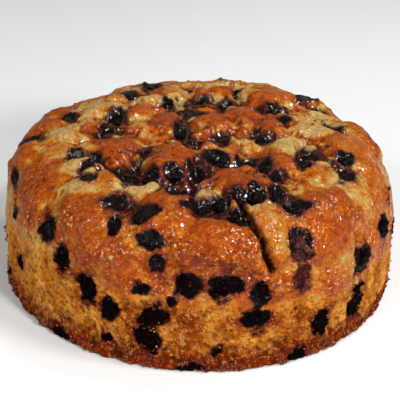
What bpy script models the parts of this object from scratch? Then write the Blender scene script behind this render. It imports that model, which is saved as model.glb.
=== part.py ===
"""A rum and raisin cake baked in a round tin: one domed cake, and the raisins that show in its skin.

Metres, +Z up. The origin is the middle of the flat base, and -Y is the front.
The skin is a surface of revolution (a straight side that turns over a squarish shoulder into a
flat crown). Lobes of risen batter, cracks and hollows round the raisins are relief upon it.
A raisin as large as a berry is an object of its own in a pocket of the cake, and the small ones
are fused to the cake.
"""

import math

import bmesh
import bpy
import numpy as np
from mathutils import Vector
from mathutils.bvhtree import BVHTree

# Driving dimensions, in metres
SKIN_RADIUS = 0.0987
FLARE = 0.0018
FLARE_HEIGHT = 0.050
CROWN_HEIGHT = 0.0750
SHOULDER_START = 0.0115
SHOULDER_POWER = 4.7
FOOT_RADIUS = 0.0022
POCKET_GAP = 0.0004
BERRY_LENGTH = 0.0105
RAISIN_THICKNESS_SHARE = 0.66
RAISIN_SUNK_SHARE = 0.50
RAISIN_LEAST_PROUD = 0.0011
HOLLOW_FLOOR = -0.0014
DEEPEST = -0.0055
CLEFT_DEPTH = 0.0022
CLEFT_REACH = 0.0011
CLEFT_PATCH = 0.019
MELT = 0.0009
WANDER_SIZES = (0.011, 0.0055)
WANDER_REACHES = (0.0044, 0.0018)
CRAG_SIZE = 0.011
CRAG_RISE = 0.0009
NOISE_SEED = 40
RAISIN_LIFT = -0.0010
MM = 0.001

# The front view that the places below were read in: pixels of a 400 pixel square, x to the right
# and y down. A pixel is turned into a line of sight, and its place is where that line meets the skin.
VIEW_DISTANCE = 0.550
VIEW_ELEVATION = math.radians(28.4)
VIEW_ROLL = math.radians(2.0)
VIEW_AIM_HEIGHT = 0.035
VIEW_FOCAL_PIXELS = 1056.0
VIEW_CENTRE_PIXEL = 200.0

# Faceting
CAP_RINGS = 16
SIDE_ROWS = 12
CAP_REACH = 0.093
RAISIN_SEGMENTS = 6
RAISIN_RINGS = 5

# Seeds and spacing of what the front view doesn't show
BACK_SEED = 11
BACK_RAISINS = 34
BACK_RAISIN_SPACING = 0.0165
BACK_LOBES = 26
BACK_LOBE_SPACING = 0.019

# Lobes of risen batter: pixel x and y, half length and half width in mm, turn of the length in
# degrees anticlockwise in the view, rise in mm
LOBES = (
    (171, 155, 19, 13, 100, 4.2),
    (163, 121, 14, 9, 90, 3.0),
    (141, 110, 12, 9, 5, 3.5),
    (143, 124, 6, 6, 0, 2.0),
    (214, 119, 12, 8, -30, 3.2),
    (243, 115, 16, 10, 100, 3.6),
    (222, 90, 8, 8, 0, 3.5),
    (206, 92, 8, 6, 0, 2.5),
    (270, 95, 15, 13, 0, 3.8),
    (271, 122, 12, 7, -35, 2.6),
    (285, 118, 9, 7, -10, 2.5),
    (211, 144, 6, 5, 0, 2.5),
    (222, 154, 11, 7, -5, 2.5),
    (241, 139, 5, 7, 0, 2.0),
    (240, 180, 15, 12, -10, 3.8),
    (252, 90, 8, 8, 0, 4.0),
    (312, 101, 13, 9, -15, 3.6),
    (284, 143, 13, 8, 20, 3.0),
    (283, 160, 10, 9, 0, 2.2),
    (156, 97, 11, 6, 0, 3.0),
    (172, 90, 9, 8, 0, 2.2),
    (97, 107, 16, 11, 10, 3.0),
    (113, 96, 9, 6, 15, 2.5),
    (64, 130, 12, 11, 0, 3.0),
    (56, 149, 10, 10, 0, 2.5),
    (40, 126, 14, 10, 35, 3.8),
    (94, 125, 8, 8, 0, 2.0),
    (116, 144, 11, 13, 0, 2.2),
    (87, 147, 8, 8, 0, 2.0),
    (83, 163, 11, 6, 0, 2.0),
    (105, 180, 10, 13, 0, 2.6),
    (78, 186, 13, 8, 0, 2.5),
    (38, 182, 18, 18, 0, 1.2),
    (19, 152, 16, 14, 60, 4.4),
    (82, 212, 15, 14, 0, 3.0),
    (141, 189, 13, 6, 8, 2.0),
    (166, 208, 12, 15, 0, 3.5),
    (212, 247, 21, 14, -3, 4.5),
    (277, 224, 17, 13, 110, 1.4),
    (240, 205, 10, 4, -35, 2.5),
    (210, 192, 8, 4, 0, 2.0),
    (333, 205, 17, 16, 0, 3.0),
    (350, 147, 17, 18, 0, 3.0),
    (312, 126, 11, 14, 0, 2.5),
    (322, 170, 10, 8, 0, 2.0),
    (376, 178, 12, 12, 0, 0.8),
    (368, 136, 14, 10, -50, 2.8),
    (358, 190, 8, 8, 0, 1.5),
    (328, 243, 14, 10, 0, 2.5),
    (338, 282, 14, 14, 0, 1.5),
    (95, 252, 18, 9, 0, 2.0),
    (118, 278, 12, 12, 0, 1.5),
    (32, 262, 12, 18, 0, 1.5),
)

# Cracks: width and depth in mm, then the pixels that the crack runs through
CRACKS = (
    (3.0, 6.0, (228, 193), (240, 203), (252, 224), (262, 238), (268, 258), (275, 273)),
    (2.6, 4.0, (72, 155), (90, 157), (107, 165), (121, 179)),
    (2.6, 3.0, (49, 127), (57, 120), (72, 119)),
    (2.8, 3.5, (195, 160), (197, 176), (188, 190)),
    (2.6, 3.0, (294, 103), (312, 107), (328, 111)),
    (3.0, 2.0, (15, 238), (21, 256), (22, 285)),
    (3.0, 2.0, (360, 236), (356, 262), (354, 290), (348, 318)),
    (3.4, 1.6, (134, 268), (164, 276), (192, 272), (224, 271), (254, 280), (280, 296)),
)

# Raisins: pixel x and y, length and width in mm, turn of the length in degrees in the view
RAISINS = (
    (49, 229, 12.0, 10.0, 40),
    (63, 258, 12.0, 8.8, 80),
    (88, 286, 12.0, 9.8, 110),
    (110, 308, 11.5, 8.5, 85),
    (62, 326, 11.0, 8.5, 110),
    (154, 316, 14.0, 7.2, 10),
    (147, 338, 12.5, 10.5, 130),
    (188, 285, 12.0, 9.6, 35),
    (172, 300, 4.5, 4.0, 60),
    (224, 286, 15.5, 9.4, 2),
    (261, 294, 10.5, 8.6, 90),
    (256, 317, 14.0, 6.8, 8),
    (319, 320, 12.0, 9.0, 80),
    (353, 308, 12.5, 8.2, 62),
    (357, 286, 6.5, 5.0, 50),
    (361, 259, 13.5, 10.6, 75),
    (381, 226, 12.5, 9.0, 70),
    (386, 196, 7.0, 6.0, 60),
    (296, 349, 10.5, 8.6, 60),
    (191, 363, 12.0, 4.4, 2),
    (216, 351, 4.5, 4.0, 0),
    (143, 288, 7.0, 5.0, 20),
    (22, 262, 7.0, 5.5, 90),
    (108, 341, 6.0, 4.0, 0),
    (17, 182, 11.5, 7.0, 90),
    (17, 208, 8.0, 7.0, 90),
    (117, 203, 11.0, 7.5, 10),
    (115, 226, 10.5, 5.5, 85),
    (146, 217, 12.0, 8.0, 12),
    (150, 241, 10.5, 8.0, 160),
    (157, 263, 8.0, 6.0, 85),
    (299, 246, 14.5, 11.0, 100),
    (301, 276, 10.5, 8.5, 60),
    (296, 209, 12.5, 8.5, 4),
    (276, 196, 11.0, 7.5, 95),
    (256, 197, 10.5, 8.5, 60),
    (238, 198, 10.0, 8.0, 150),
    (201, 206, 10.5, 8.0, 30),
    (221, 204, 8.0, 8.0, 120),
    (237, 221, 11.0, 8.0, 165),
    (127, 176, 11.5, 10.0, 160),
    (151, 177, 9.5, 7.5, 90),
    (173, 176, 9.5, 8.0, 170),
    (196, 170, 11.0, 7.5, 90),
    (175, 195, 8.5, 7.5, 60),
    (189, 191, 8.0, 6.5, 90),
    (187, 210, 5.5, 5.0, 0),
    (146, 156, 8.5, 6.0, 90),
    (180, 130, 11.0, 6.5, 80),
    (195, 143, 9.0, 7.0, 20),
    (194, 113, 11.0, 8.5, 160),
    (201, 102, 9.0, 8.5, 0),
    (225, 104, 8.5, 7.0, 20),
    (191, 89, 8.0, 7.0, 0),
    (237, 94, 8.0, 6.0, 60),
    (230, 85, 11.0, 7.0, 0),
    (129, 93, 9.5, 8.5, 0),
    (168, 104, 7.0, 5.0, 60),
    (274, 111, 9.0, 8.0, 0),
    (303, 104, 11.5, 8.0, 165),
    (326, 110, 7.0, 5.5, 0),
    (284, 125, 6.5, 5.5, 0),
    (333, 126, 8.0, 6.5, 160),
    (311, 155, 10.5, 9.0, 130),
    (302, 164, 9.0, 8.5, 150),
    (344, 162, 8.5, 7.5, 60),
    (345, 175, 11.0, 9.5, 120),
    (264, 137, 9.0, 7.0, 40),
    (252, 142, 6.0, 5.5, 0),
    (223, 140, 9.0, 6.0, 70),
    (216, 161, 13.0, 7.5, 165),
    (246, 163, 12.0, 8.0, 15),
    (227, 170, 7.0, 4.5, 0),
    (265, 166, 11.0, 6.0, 90),
    (275, 177, 9.0, 7.0, 50),
    (76, 156, 9.0, 6.5, 150),
    (93, 158, 7.0, 5.0, 0),
    (90, 168, 8.0, 5.0, 20),
    (90, 182, 8.5, 7.5, 140),
    (116, 118, 12.5, 7.0, 70),
    (108, 131, 11.0, 6.0, 95),
    (64, 119, 12.0, 6.5, 10),
    (35, 145, 9.0, 8.0, 30),
)


def clear_scene():
    for thing in list(bpy.data.objects):
        bpy.data.objects.remove(thing, do_unlink=True)


def flare(height):
    """How much wider than straight the side is at a height: it spreads a little towards the base."""
    return FLARE * np.clip(1 - height / FLARE_HEIGHT, 0.0, 1.0) ** 2


def skin_profile():
    """Distance along the skin from the crown's middle to the foot, with the radius and height there.

    Crown and shoulder are one superellipse, the side below it flares out a little, and the foot is
    a quarter round that ends on the base.
    """
    lean = np.linspace(0.0, 1.0, 4000) ** SHOULDER_POWER * math.pi / 2
    power = 2 / SHOULDER_POWER
    radius = SKIN_RADIUS * np.sin(lean) ** power
    height = SHOULDER_START + (CROWN_HEIGHT - SHOULDER_START) * np.cos(lean) ** power
    height = np.concatenate([height, [FOOT_RADIUS]])
    radius = np.concatenate([radius, [SKIN_RADIUS]])
    turn = np.linspace(0.05, math.pi / 2, 40)
    radius = np.concatenate([radius + flare(height),
                             SKIN_RADIUS + FLARE - FOOT_RADIUS * (1 - np.cos(turn))])
    height = np.concatenate([height, FOOT_RADIUS * (1 - np.sin(turn))])
    along = np.concatenate([[0.0], np.cumsum(np.hypot(np.diff(radius), np.diff(height)))])
    return along, radius, height


ALONG, RADIUS, HEIGHT = skin_profile()
SKIN_LENGTH = float(ALONG[-1])


def skin_at(angle, along):
    """Points and outward normals of the smooth skin, at angles about +Z and distances from the crown."""
    radius = np.interp(along, ALONG, RADIUS)
    height = np.interp(along, ALONG, HEIGHT)
    step = 0.0004
    drop = np.interp(along - step, ALONG, HEIGHT) - np.interp(along + step, ALONG, HEIGHT)
    spread = np.interp(along + step, ALONG, RADIUS) - np.interp(along - step, ALONG, RADIUS)
    size = np.hypot(drop, spread) + 1e-12
    across, up = drop / size, spread / size
    points = np.stack([radius * np.cos(angle), radius * np.sin(angle), height], axis=-1)
    normals = np.stack([across * np.cos(angle), across * np.sin(angle), up], axis=-1)
    return points, normals


def view_axes():
    """Eye, and the view's forward, right and up, the last two turned by its roll."""
    forward = np.array([0.0, math.cos(VIEW_ELEVATION), -math.sin(VIEW_ELEVATION)])
    level = np.array([1.0, 0.0, 0.0])
    upright = np.cross(level, forward)
    right = math.cos(VIEW_ROLL) * level + math.sin(VIEW_ROLL) * upright
    up = math.cos(VIEW_ROLL) * upright - math.sin(VIEW_ROLL) * level
    eye = np.array([0.0, 0.0, VIEW_AIM_HEIGHT]) - VIEW_DISTANCE * forward
    return eye, forward, right, up


def skin_share(points, lift):
    """How far out points lie, as a superellipse: under 1 is inside the smooth skin grown by lift."""
    radius = np.hypot(points[..., 0], points[..., 1]) / (SKIN_RADIUS + flare(points[..., 2]) + lift)
    rise = (points[..., 2] - SHOULDER_START) / (CROWN_HEIGHT + lift - SHOULDER_START)
    rise = np.clip(rise, 0.0, None)
    return radius**SHOULDER_POWER + rise**SHOULDER_POWER + 9.0 * (points[..., 2] < 0)


def seen_at(pixels, lift=0.0):
    """Angle about +Z and distance from the crown where each pixel's line of sight meets the skin.

    What lies over the smooth skin gives its lift. A line of sight that passes just over the skin counts where it comes nearest.
    """
    eye, forward, right, up = view_axes()
    offset = (np.asarray(pixels, float) - VIEW_CENTRE_PIXEL) / VIEW_FOCAL_PIXELS
    sight = forward + offset[:, :1] * right - offset[:, 1:] * up
    reach = np.linspace(VIEW_DISTANCE - 0.16, VIEW_DISTANCE + 0.16, 3201)
    path = eye + reach[None, :, None] * sight[:, None, :]
    share = skin_share(path, np.broadcast_to(lift, len(sight))[:, None])
    hit = np.where((share < 1).any(axis=1), np.argmax(share < 1, axis=1), np.argmin(share, axis=1))
    points = path[np.arange(len(hit)), hit]
    angle = np.arctan2(points[:, 1], points[:, 0])
    nearest = (np.hypot(points[:, 0], points[:, 1])[:, None] - RADIUS) ** 2
    nearest += (points[:, 2][:, None] - HEIGHT) ** 2
    return angle, ALONG[np.argmin(nearest, axis=1)]


def lengthwise(points, normals, turn):
    """Unit tangents of the skin that look turned by so many degrees in the front view."""
    eye, _, right, up = view_axes()
    flat = np.cos(np.radians(turn))[:, None] * right + np.sin(np.radians(turn))[:, None] * up
    sight = points - eye
    sight /= np.linalg.norm(sight, axis=1, keepdims=True)
    slant = np.sum(normals * sight, axis=1, keepdims=True)
    slant = np.where(np.abs(slant) < 0.2, -0.2, slant)
    tangent = flat - np.sum(flat * normals, axis=1, keepdims=True) / slant * sight
    tangent -= np.sum(tangent * normals, axis=1, keepdims=True) * normals
    return tangent / np.linalg.norm(tangent, axis=1, keepdims=True)


def hidden_places(count, spacing, taken, draw):
    """Seeded places on the skin that the front view doesn't show, each at least spacing from the rest."""
    eye = view_axes()[0]
    kept, found = list(taken), []
    while len(found) < count and draw.tries < 20000:
        draw.tries += 1
        angle, along = draw.uniform(-math.pi, math.pi), draw.uniform(0.03, SKIN_LENGTH - 0.009)
        if draw.uniform(0.0, SKIN_RADIUS) > np.interp(along, ALONG, RADIUS):
            continue
        point, normal = (row[0] for row in skin_at(np.array([angle]), np.array([along])))
        facing = np.dot(normal, eye - point) / np.linalg.norm(eye - point)
        if facing > 0.12 or min(np.linalg.norm(point - other) for other in kept) < spacing:
            continue
        kept.append(point)
        found.append((angle, along))
    return np.array(found)


class Draw(np.random.RandomState):
    """Seeded random numbers that also count how often a place was tried."""

    tries = 0


class Ovals:
    """Oval patches of the skin: centres, normals, the tangents along and across, and half sizes."""

    def __init__(self, angle, along, half_length, half_width, turn):
        self.angle, self.along = angle, along
        self.centre, self.normal = skin_at(angle, along)
        self.lengthwise = lengthwise(self.centre, self.normal, turn)
        self.sideways = np.cross(self.normal, self.lengthwise)
        self.half_length, self.half_width = half_length, half_width

    def spread(self, points):
        """Squared distance of each point from each oval's centre, where 1 is the oval's rim."""
        offset = points[:, None, :] - self.centre
        along = np.sum(offset * self.lengthwise, axis=2) / self.half_length
        across = np.sum(offset * self.sideways, axis=2) / self.half_width
        middle = (self.half_length + self.half_width) / 2
        through = np.sum(offset * self.normal, axis=2) / middle
        return along**2 + across**2 + through**2


def all_lobes(draw):
    """The lobes of the table, and seeded ones on the side that the view doesn't show."""
    table = np.array(LOBES, float)
    angle, along = seen_at(table[:, :2], 0.5 * MM * table[:, 5])
    places = hidden_places(BACK_LOBES, BACK_LOBE_SPACING, skin_at(angle, along)[0], draw)
    count = len(places)
    half = draw.uniform(10, 17, (count, 2))
    rise = draw.uniform(1.2, 3.2, count) * np.where(places[:, 1] > 0.095, 0.4, 1.0)
    ovals = Ovals(
        np.concatenate([angle, places[:, 0]]),
        np.concatenate([along, places[:, 1]]),
        MM * np.concatenate([table[:, 2], half[:, 0]]),
        MM * np.concatenate([table[:, 3], half[:, 1]]),
        np.concatenate([table[:, 4], draw.uniform(0, 180, count)]),
    )
    return ovals, MM * np.concatenate([table[:, 5], rise])


def all_raisins(draw):
    """The raisins of the table, and seeded ones of the same sizes on the side that isn't seen."""
    table = np.array(RAISINS, float)
    angle, along = seen_at(table[:, :2], RAISIN_LIFT)
    places = hidden_places(BACK_RAISINS, BACK_RAISIN_SPACING, skin_at(angle, along)[0], draw)
    count = len(places)
    length = draw.uniform(6.0, 12.5, count)
    return Ovals(
        np.concatenate([angle, places[:, 0]]),
        np.concatenate([along, places[:, 1]]),
        MM * np.concatenate([table[:, 2], length]) / 2,
        MM * np.concatenate([table[:, 3], length * draw.uniform(0.6, 0.85, count)]) / 2,
        np.concatenate([table[:, 4], draw.uniform(0, 180, count)]),
    )


def lattice(cells, seed):
    """A whole number from 0 to 255 for each lattice cell, scrambled from its three indices."""
    table = np.random.RandomState(seed).permutation(256)
    mixed = table[cells[..., 0] & 255]
    mixed = table[(mixed + cells[..., 1]) & 255]
    return table[(mixed + cells[..., 2]) & 255]


def swell_noise(points, size, seed):
    """Smooth gradient noise of about -1 to 1, with hills about as wide as size.

    At each corner of a lattice cell a fixed random slope is dotted with the offset from that
    corner, and the eight values are blended with a quintic fade.
    """
    slopes = np.random.RandomState(seed + 900).normal(size=(256, 3))
    slopes /= np.linalg.norm(slopes, axis=1, keepdims=True)
    scaled = points / size
    cells = np.floor(scaled).astype(int)
    offset = scaled - cells
    fade = offset**3 * (offset * (offset * 6 - 15) + 10)
    total = np.zeros(len(points))
    for corner in np.ndindex(2, 2, 2):
        corner = np.array(corner)
        slope = slopes[lattice(cells + corner, seed)]
        weight = np.prod(np.where(corner, fade, 1 - fade), axis=1)
        total += weight * np.sum(slope * (offset - corner), axis=1)
    return total * 1.7


def wandered(points):
    """Points pushed about by smooth noise, so that what is drawn with them gets a ragged outline."""
    moved = points.copy()
    for octave, (size, reach) in enumerate(zip(WANDER_SIZES, WANDER_REACHES)):
        for axis in range(3):
            moved[:, axis] += reach * swell_noise(points, size, NOISE_SEED + 3 * octave + axis)
    return moved


def crack_depth(points):
    """How far the cracks sink the skin: a bell across each crack, fading at its two ends."""
    depth = np.zeros(len(points))
    for width, deepest, *pixels in CRACKS:
        angle, along = seen_at(pixels)
        course = skin_at(angle, along)[0]
        for start, end in zip(course[:-1], course[1:]):
            run = end - start
            share = np.clip((points - start) @ run / (run @ run), 0.0, 1.0)
            gap = np.linalg.norm(points - start - share[:, None] * run, axis=1)
            depth = np.maximum(depth, MM * deepest * np.exp(-((gap / (MM * width)) ** 2)))
    return depth


def relief(points, along, lobes, rises, raisins):
    """Height of the real surface over the smooth skin.

    Each lobe is a flat-topped dome with a ragged outline, and they melt into each other, so that
    soft valleys form where two meet. On the crown a cleft follows some of the valleys, and low
    crags lie over all of it. Raisins and cracks sink the surface, and the relief dies out towards
    the foot.
    """
    domes = np.sort(rises * (1 - lobes.spread(wandered(points)) ** 1.4), axis=1)
    on_top = 1 - np.clip((along - 0.085) / 0.035, 0.0, 1.0)
    floor = HOLLOW_FLOOR * on_top
    height = MELT * np.log(np.exp(domes / MELT).sum(axis=1) + np.exp(floor / MELT))
    lead = np.maximum(domes[:, -1], floor) - np.maximum(domes[:, -2], floor)
    crown = 1 - np.clip((along - 0.055) / 0.035, 0.0, 1.0)
    patchy = np.clip(0.3 + 1.6 * swell_noise(points, CLEFT_PATCH, NOISE_SEED + 12), 0.0, 1.0)
    height -= CLEFT_DEPTH * crown * patchy * np.exp(-lead / CLEFT_REACH)
    height += CRAG_RISE * (0.3 + 0.7 * on_top) * swell_noise(points, CRAG_SIZE, NOISE_SEED + 9)
    sink = MM * (0.3 + 0.7 * on_top)
    height -= sink * np.exp(-0.7 * raisins.spread(points)).max(axis=1)
    height = np.maximum(height - crack_depth(points), DEEPEST)
    return height * np.clip((SKIN_LENGTH - along - FOOT_RADIUS) / 0.010, 0.0, 1.0)


def raised(points, normals, along, *form):
    """Skin points lifted along their normals by the relief."""
    return points + normals * relief(points, along, *form)[:, None]


def ring_of(count, along):
    angle = np.arange(count) * 2 * math.pi / count
    return angle, np.full(count, along)


def cake_object(name, form):
    """The cake's skin: rings of 6, 12, 18 and so on over the crown, then rows of equal rings."""
    mesh = bmesh.new()
    around = 6 * CAP_RINGS
    stops = [(6 * ring, CAP_REACH * ring / CAP_RINGS) for ring in range(1, CAP_RINGS + 1)]
    last = SKIN_LENGTH - CAP_REACH
    stops += [(around, CAP_REACH + last * row / SIDE_ROWS) for row in range(1, SIDE_ROWS + 1)]
    rings = [make_ring(mesh, *ring_of(1, 0.0), form)]
    rings += [make_ring(mesh, *ring_of(count, along), form) for count, along in stops]
    for inner, outer in zip(rings[:-1], rings[1:]):
        join_rings(mesh, inner, outer)
    mesh.faces.new(list(reversed(rings[-1])))
    bmesh.ops.recalc_face_normals(mesh, faces=mesh.faces)
    bmesh.ops.triangulate(mesh, faces=[face for face in mesh.faces if len(face.verts) == 4])
    return finished_object(name, mesh, CRUST)


def make_ring(mesh, angle, along, form):
    points, normals = skin_at(angle, along)
    return [mesh.verts.new(point) for point in raised(points, normals, along, *form)]


def join_rings(mesh, inner, outer):
    """Quads between equal rings, a fan round the crown's middle, and six wedges of triangles between."""
    if len(inner) == 1:
        for spot in range(6):
            mesh.faces.new((inner[0], outer[spot], outer[(spot + 1) % 6]))
    elif len(inner) == len(outer):
        for spot in range(len(inner)):
            after = (spot + 1) % len(inner)
            mesh.faces.new((inner[spot], outer[spot], outer[after], inner[after]))
    else:
        ring = len(inner) // 6
        for wedge in range(6):
            for step in range(ring + 1):
                near = inner[(wedge * ring + step) % len(inner)]
                far = outer[wedge * (ring + 1) + step]
                far_after = outer[(wedge * (ring + 1) + step + 1) % len(outer)]
                mesh.faces.new((near, far, far_after))
                if step < ring:
                    near_after = inner[(wedge * ring + step + 1) % len(inner)]
                    mesh.faces.new((near, far_after, near_after))


def cut_skin(cake, raisins):
    """Height over the smooth skin at which each raisin's normal leaves the cake's facets."""
    mesh = bmesh.new()
    mesh.from_mesh(cake.data)
    tree = BVHTree.FromBMesh(mesh)
    heights = []
    for centre, normal in zip(raisins.centre, raisins.normal):
        start = Vector(centre + 0.02 * normal)
        heights.append(0.02 - tree.ray_cast(start, Vector(-normal))[3])
    mesh.free()
    return np.array(heights)


def raisin_mesh(raisins, which, surface, grown, draw):
    """A flattened, slightly lumpy ellipsoid half sunk in the skin, grown all round by a clearance."""
    thickness = RAISIN_THICKNESS_SHARE * raisins.half_width[which]
    rise = surface[which] - RAISIN_SUNK_SHARE * thickness
    rise = max(rise, surface[which] + RAISIN_LEAST_PROUD - thickness)
    middle = raisins.centre[which] + raisins.normal[which] * rise
    axes = np.stack([raisins.lengthwise[which], raisins.sideways[which], raisins.normal[which]])
    half = np.array([raisins.half_length[which], raisins.half_width[which], thickness])
    mesh = bmesh.new()
    if 2 * half[0] < BERRY_LENGTH - 1e-9:
        bmesh.ops.create_icosphere(mesh, subdivisions=1, radius=1.08)
    else:
        segments, rings = RAISIN_SEGMENTS, RAISIN_RINGS
        bmesh.ops.create_uvsphere(mesh, u_segments=segments, v_segments=rings, radius=1.04)
    lumps = draw.uniform(0.93, 1.07, len(mesh.verts))
    for vertex, lump in zip(mesh.verts, lumps):
        unit = np.array(vertex.co)
        spot = middle + (unit * (half * lump + grown)) @ axes
        spot[2] = max(spot[2], 0.0010 - grown)
        vertex.co = Vector(spot)
    bmesh.ops.triangulate(mesh, faces=[face for face in mesh.faces if len(face.verts) == 4])
    bmesh.ops.recalc_face_normals(mesh, faces=mesh.faces)
    return mesh


def finished_object(name, mesh, material):
    data = bpy.data.meshes.new(name)
    mesh.to_mesh(data)
    mesh.free()
    data.materials.append(material)
    data.shade_smooth()
    data.set_sharp_from_angle(angle=math.radians(50))
    thing = bpy.data.objects.new(name, data)
    bpy.context.scene.collection.objects.link(thing)
    return thing


def surface_material(name, colour, roughness):
    material = bpy.data.materials.new(name)
    material.use_nodes = True
    shader = material.node_tree.nodes["Principled BSDF"]
    shader.inputs["Base Color"].default_value = (*colour, 1.0)
    shader.inputs["Roughness"].default_value = roughness
    shader.inputs["Metallic"].default_value = 0.0
    return material


CRUST = surface_material("baked_crust", (0.50, 0.20, 0.045), 0.42)
RAISIN = surface_material("raisin_skin", (0.018, 0.009, 0.010), 0.30)


def combine(thing, others, operation):
    """One Boolean of the object with a collection of others, applied, with the others removed."""
    group = bpy.data.collections.new(operation.lower())
    bpy.context.scene.collection.children.link(group)
    for other in others:
        bpy.context.scene.collection.objects.unlink(other)
        group.objects.link(other)
    modifier = thing.modifiers.new(operation.lower(), "BOOLEAN")
    modifier.operation = operation
    modifier.operand_type = "COLLECTION"
    modifier.collection = group
    bpy.context.view_layer.update()
    graph = bpy.context.evaluated_depsgraph_get()
    result = bpy.data.meshes.new_from_object(thing.evaluated_get(graph))
    thing.modifiers.clear()
    thing.data = result
    for other in others:
        bpy.data.objects.remove(other, do_unlink=True)
    bpy.data.collections.remove(group)


def keep_largest_piece(thing):
    """Drops scraps that a Boolean cut loose, welds what coincides and makes every face a triangle."""
    mesh = bmesh.new()
    mesh.from_mesh(thing.data)
    bmesh.ops.remove_doubles(mesh, verts=mesh.verts, dist=0.00002)
    left, pieces = set(mesh.verts), []
    while left:
        piece, edge = set(), [left.pop()]
        while edge:
            vertex = edge.pop()
            piece.add(vertex)
            for link in vertex.link_edges:
                other = link.other_vert(vertex)
                if other in left:
                    left.discard(other)
                    edge.append(other)
        pieces.append(piece)
    largest = max(pieces, key=len)
    print("loose pieces dropped:", sorted(len(piece) for piece in pieces if piece is not largest))
    scraps = [vertex for vertex in mesh.verts if vertex not in largest]
    bmesh.ops.delete(mesh, geom=scraps, context="VERTS")
    bmesh.ops.triangulate(mesh, faces=mesh.faces)
    mesh.to_mesh(thing.data)
    mesh.free()


def build():
    clear_scene()
    draw = Draw(BACK_SEED)
    lobes, rises = all_lobes(draw)
    raisins = all_raisins(draw)
    form = (lobes, rises, raisins)
    cake = cake_object("cake", form)
    surface = cut_skin(cake, raisins)
    large = [i for i in range(len(surface)) if raisins.half_length[i] * 2 >= BERRY_LENGTH - 1e-9]
    small = [i for i in range(len(surface)) if i not in large]
    fused = []
    for which in small:
        mesh = raisin_mesh(raisins, which, surface, 0.0, np.random.RandomState(which))
        fused.append(finished_object(f"small_{which:02d}", mesh, RAISIN))
    combine(cake, fused, "UNION")
    cutters = []
    for place, which in enumerate(large, start=1):
        mesh = raisin_mesh(raisins, which, surface, 0.0, np.random.RandomState(which))
        finished_object(f"raisin_{place:02d}", mesh, RAISIN)
        mesh = raisin_mesh(raisins, which, surface, POCKET_GAP, np.random.RandomState(which))
        cutters.append(finished_object(f"pocket_{place:02d}", mesh, CRUST))
    combine(cake, cutters, "DIFFERENCE")
    keep_largest_piece(cake)
    print("large raisins:", len(large), "small:", len(small), "cake faces:", len(cake.data.polygons))


build()
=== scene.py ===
"""Looks of the rum and raisin cake: fine skin, raisins, crumbs, materials, camera and light.

The cake is a surface of revolution with relief upon it, the same form as the solid it replaces:
a straight side, a squarish shoulder and a flat crown, with lobes of risen batter, cracks and
hollows round the raisins. To that the script adds torn flakes, folds, dents, pores and grain.
"""

import math
from types import SimpleNamespace

import bpy
import numpy as np
from mathutils import Matrix, Vector


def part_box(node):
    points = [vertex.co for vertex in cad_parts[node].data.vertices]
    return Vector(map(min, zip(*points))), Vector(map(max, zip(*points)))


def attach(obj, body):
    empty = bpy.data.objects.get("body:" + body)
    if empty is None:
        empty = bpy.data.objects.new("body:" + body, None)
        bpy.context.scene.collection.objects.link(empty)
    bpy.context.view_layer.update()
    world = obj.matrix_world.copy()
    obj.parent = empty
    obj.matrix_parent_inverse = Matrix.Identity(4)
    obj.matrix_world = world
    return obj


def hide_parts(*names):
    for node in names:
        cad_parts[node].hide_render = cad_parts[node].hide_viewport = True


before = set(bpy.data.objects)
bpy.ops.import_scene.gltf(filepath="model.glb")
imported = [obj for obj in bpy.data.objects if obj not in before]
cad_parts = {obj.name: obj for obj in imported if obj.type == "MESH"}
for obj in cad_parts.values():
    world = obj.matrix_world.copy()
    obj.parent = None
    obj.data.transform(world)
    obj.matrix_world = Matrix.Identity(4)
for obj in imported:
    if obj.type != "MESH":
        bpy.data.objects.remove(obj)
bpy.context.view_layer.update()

MM = 0.001

# The smooth skin, in metres, but for the power of its superellipse
SKIN_RADIUS = 0.0987
FLARE = 0.0018
FLARE_HEIGHT = 0.050
CROWN_HEIGHT = 0.0750
SHOULDER_START = 0.0115
SHOULDER_POWER = 4.7
FOOT_RADIUS = 0.0022
SLOPE_STEP = 0.0004

# The solid's relief: lengths in metres; edges are distances along the skin from the crown
TOP_EDGE = 0.085
CLEFTS_EDGE = 0.055
EDGE_WIDTH = 0.035
SIDE_START = 0.100
HOLLOW_FLOOR = -0.0014
DEEPEST = -0.0055
CLEFT_DEPTH = 0.0022
CLEFT_REACH = 0.0011
CLEFT_PATCH = 0.019
LOBE_POWER = 1.4
MELT = 0.0009
WANDER_SIZES = (0.011, 0.0055)
WANDER_REACHES = (0.0044, 0.0018)
CRAG_SIZE = 0.011
CRAG_RISE = 0.0009
FOOT_FADE = 0.010
GROOVE_DARKNESS = 0.4
NOISE_SEED = 40

# Raisins: from NODE_LENGTH on they are nodes; lengths in metres, shares of their half width
NODE_LENGTH = 0.0105
RAISIN_THICKNESS_SHARE = 0.66
RAISIN_SUNK_SHARE = 0.50
RAISIN_FLATNESS = 0.52
RAISIN_LIFT = -0.0010
RAISIN_SEED = 200

# Noise of the fine skin: how wide its hills or cells are in metres, and its seed
BROAD = (0.016, 4)
MIDDLE = (0.0075, 5)
SMALL = (0.0034, 6)
GRAIN = (0.0019, 7)
CRUST_END = (0.020, 8)
FOLDS = (0.0095, 9)
CRINKLES = (0.0048, 13)
FLAKES = (0.0074, 18)
LIPS = (0.0027, 14)
DENTS = (0.0055, 16)
DENT_AREAS = (0.013, 17)
PITS = (0.0042, 10)
PINS = (0.0024, 11)
PIT_AREAS = (0.011, 12)
STREAKS = (0.0085, 15)

# How high or deep the fine relief goes, in metres
FLAKE_RISE = 0.0023
FLAKE_EDGE_DEPTH = 0.0006
FOLD_DEPTH = 0.0013
CRINKLE_DEPTH = 0.0008
DENT_DEPTH = 0.0009
PORE_DEPTH = 0.00125

# Juice smears below the raisins of the side: drop in metres, length and width in half sizes
SMEAR_DROP = 0.0004
SMEAR_LENGTH = 1.45
SMEAR_WIDTH = 0.85

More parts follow.
